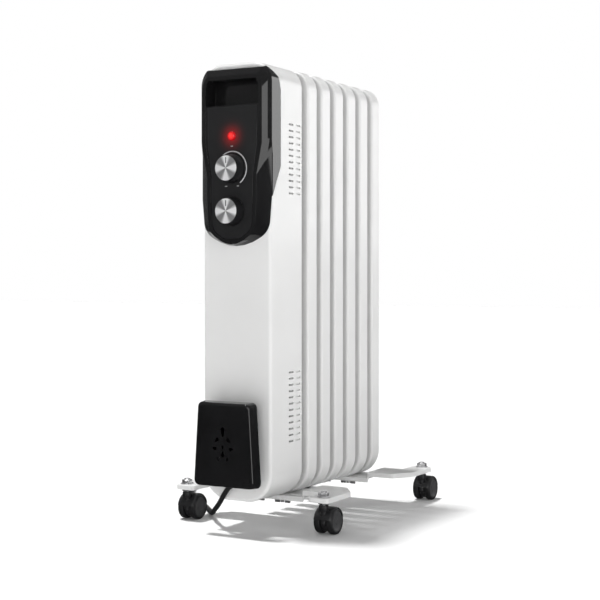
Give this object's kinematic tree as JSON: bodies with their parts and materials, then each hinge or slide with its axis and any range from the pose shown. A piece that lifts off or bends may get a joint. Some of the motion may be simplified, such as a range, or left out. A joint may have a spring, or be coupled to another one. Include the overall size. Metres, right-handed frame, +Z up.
{
  "type": "oil filled radiator heater",
  "caption": "Upright oil-filled column radiator with a black control bezel, rotary thermostat and power selector, cord winder and swivel casters on pressed steel feet.",
  "frame": {"origin": "on the floor under the middle of the box around the heater without its cord", "axes": "+Z up, the control panel faces -Y, the fins stack along +Y, +X is to the right of a person who faces the panel"},
  "size_m": [0.3866, 0.458, 0.63],
  "materials": {
    "white_paint": "semi-gloss white powder coat",
    "zinc_steel": "bright zinc plate",
    "gloss_black": "glossy moulded ABS",
    "panel_black": "satin moulded panel",
    "satin_black": "satin moulded plastic",
    "spun_aluminium": "radially spun",
    "cream_plastic": "moulded glass-filled plastic",
    "red_lens": "translucent red lens, lit",
    "brown_phenolic": "moulded phenolic",
    "brass": "machined",
    "wire_insulation": "silicone sleeve",
    "cord_black": "flexible sheath",
    "caster_black": "satin moulded nylon",
    "wheel_black": "moulded nylon tread"
  },
  "bodies": {
    "radiator": {"fin_1": "white_paint", "fin_2": "white_paint", "fin_3": "white_paint", "fin_4": "white_paint", "fin_5": "white_paint", "fin_6": "white_paint", "fin_7": "white_paint", "oil_filler_plug": "zinc_steel", "heating_element": "zinc_steel", "element_flange": "zinc_steel", "control_housing": "white_paint", "housing_screws": "zinc_steel", "heat_shield": "zinc_steel", "shield_screws": "zinc_steel", "shield_spacers": "zinc_steel", "control_bezel": "gloss_black", "control_panel": "panel_black", "thermostat_body": "cream_plastic", "selector_switch": "cream_plastic", "pilot_lens": "red_lens", "pilot_lamp": "cream_plastic", "thermal_cutout": "brown_phenolic", "terminal_block": "cream_plastic", "earth_screw": "brass", "internal_wiring": "wire_insulation", "winder_spool": "satin_black", "winder_plate": "gloss_black", "cord_strain_relief": "satin_black", "power_cord": "cord_black", "cord_coil": "cord_black", "power_plug": "satin_black", "plug_pins": "brass", "front_foot_bracket": "white_paint", "rear_foot_bracket": "white_paint", "clamp_u_bolts": "zinc_steel", "wing_nuts": "zinc_steel", "caster_stems": "zinc_steel", "stem_nuts": "zinc_steel"},
    "thermostat_dial": {"thermostat_spindle": "zinc_steel", "thermostat_knob": "satin_black", "thermostat_knob_cap": "spun_aluminium"},
    "selector_dial": {"selector_spindle": "zinc_steel", "selector_knob": "satin_black", "selector_knob_cap": "spun_aluminium"},
    "caster_fl": {"caster_hood_fl": "caster_black", "axle_fl": "zinc_steel"},
    "roller_fl_left": {"wheel_fl_left": "wheel_black"},
    "roller_fl_right": {"wheel_fl_right": "wheel_black"},
    "caster_fr": {"caster_hood_fr": "caster_black", "axle_fr": "zinc_steel"},
    "roller_fr_left": {"wheel_fr_left": "wheel_black"},
    "roller_fr_right": {"wheel_fr_right": "wheel_black"},
    "caster_rl": {"caster_hood_rl": "caster_black", "axle_rl": "zinc_steel"},
    "roller_rl_left": {"wheel_rl_left": "wheel_black"},
    "roller_rl_right": {"wheel_rl_right": "wheel_black"},
    "caster_rr": {"caster_hood_rr": "caster_black", "axle_rr": "zinc_steel"},
    "roller_rr_left": {"wheel_rr_left": "wheel_black"},
    "roller_rr_right": {"wheel_rr_right": "wheel_black"}
  },
  "joints": [
    {"name": "thermostat_turn", "type": "hinge", "parent": "radiator", "child": "thermostat_dial", "pos_m": [0, -0.18725, 0.4875], "axis": [0, 1, 0], "range_deg": [-40, 145]},
    {"name": "selector_turn", "type": "hinge", "parent": "radiator", "child": "selector_dial", "pos_m": [0, -0.18725, 0.4305], "axis": [0, 1, 0], "range_deg": [0, 135]},
    {"name": "swivel_fl", "type": "hinge", "parent": "radiator", "child": "caster_fl", "pos_m": [-0.11, -0.13325, 0.02], "axis": [0, 0, 1], "continuous": true},
    {"name": "swivel_fr", "type": "hinge", "parent": "radiator", "child": "caster_fr", "pos_m": [0.11, -0.13325, 0.02], "axis": [0, 0, 1], "continuous": true},
    {"name": "swivel_rl", "type": "hinge", "parent": "radiator", "child": "caster_rl", "pos_m": [-0.11, 0.17875, 0.02], "axis": [0, 0, 1], "continuous": true},
    {"name": "swivel_rr", "type": "hinge", "parent": "radiator", "child": "caster_rr", "pos_m": [0.11, 0.17875, 0.02], "axis": [0, 0, 1], "continuous": true},
    {"name": "roll_fl_left", "type": "hinge", "parent": "caster_fl", "child": "roller_fl_left", "pos_m": [-0.11945, -0.12025, 0.017], "axis": [1, 0, 0], "continuous": true},
    {"name": "roll_fl_right", "type": "hinge", "parent": "caster_fl", "child": "roller_fl_right", "pos_m": [-0.10055, -0.12025, 0.017], "axis": [1, 0, 0], "continuous": true},
    {"name": "roll_fr_left", "type": "hinge", "parent": "caster_fr", "child": "roller_fr_left", "pos_m": [0.10055, -0.12025, 0.017], "axis": [1, 0, 0], "continuous": true},
    {"name": "roll_fr_right", "type": "hinge", "parent": "caster_fr", "child": "roller_fr_right", "pos_m": [0.11945, -0.12025, 0.017], "axis": [1, 0, 0], "continuous": true},
    {"name": "roll_rl_left", "type": "hinge", "parent": "caster_rl", "child": "roller_rl_left", "pos_m": [-0.11945, 0.19175, 0.017], "axis": [1, 0, 0], "continuous": true},
    {"name": "roll_rl_right", "type": "hinge", "parent": "caster_rl", "child": "roller_rl_right", "pos_m": [-0.10055, 0.19175, 0.017], "axis": [1, 0, 0], "continuous": true},
    {"name": "roll_rr_left", "type": "hinge", "parent": "caster_rr", "child": "roller_rr_left", "pos_m": [0.10055, 0.19175, 0.017], "axis": [1, 0, 0], "continuous": true},
    {"name": "roll_rr_right", "type": "hinge", "parent": "caster_rr", "child": "roller_rr_right", "pos_m": [0.11945, 0.19175, 0.017], "axis": [1, 0, 0], "continuous": true}
  ]
}
